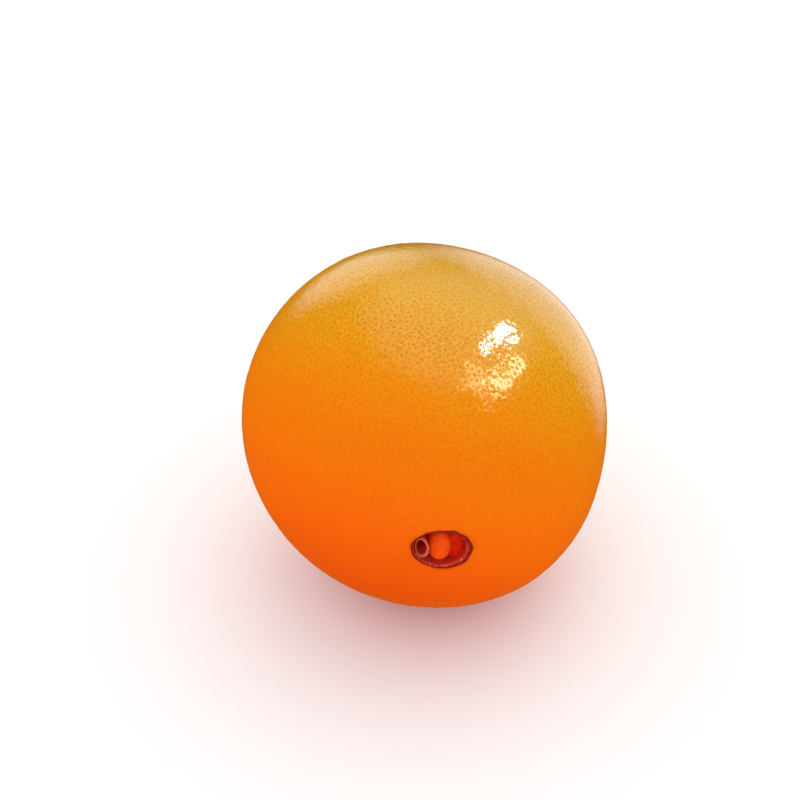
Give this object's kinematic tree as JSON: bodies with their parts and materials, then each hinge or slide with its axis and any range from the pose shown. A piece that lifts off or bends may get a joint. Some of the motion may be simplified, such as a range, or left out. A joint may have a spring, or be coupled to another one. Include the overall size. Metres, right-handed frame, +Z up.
{
  "type": "orange",
  "caption": "Whole navel orange lying on its side: a round fruit with a pitted peel, a navel opening at one end and a dried calyx with a cut stub of stem at the other.",
  "frame": {"origin": "on the floor, under the middle of the whole orange's box, on the flat spot it rests on", "axes": "+Z up; the core lies along Y, with the navel facing -Y and the stem end facing +Y; +X completes the frame"},
  "size_m": [0.0798, 0.0818, 0.0791],
  "materials": {
    "peel": "satin",
    "dry_calyx": "matte"
  },
  "bodies": {
    "root": {"fruit": "peel", "calyx": "dry_calyx"}
  },
  "joints": []
}
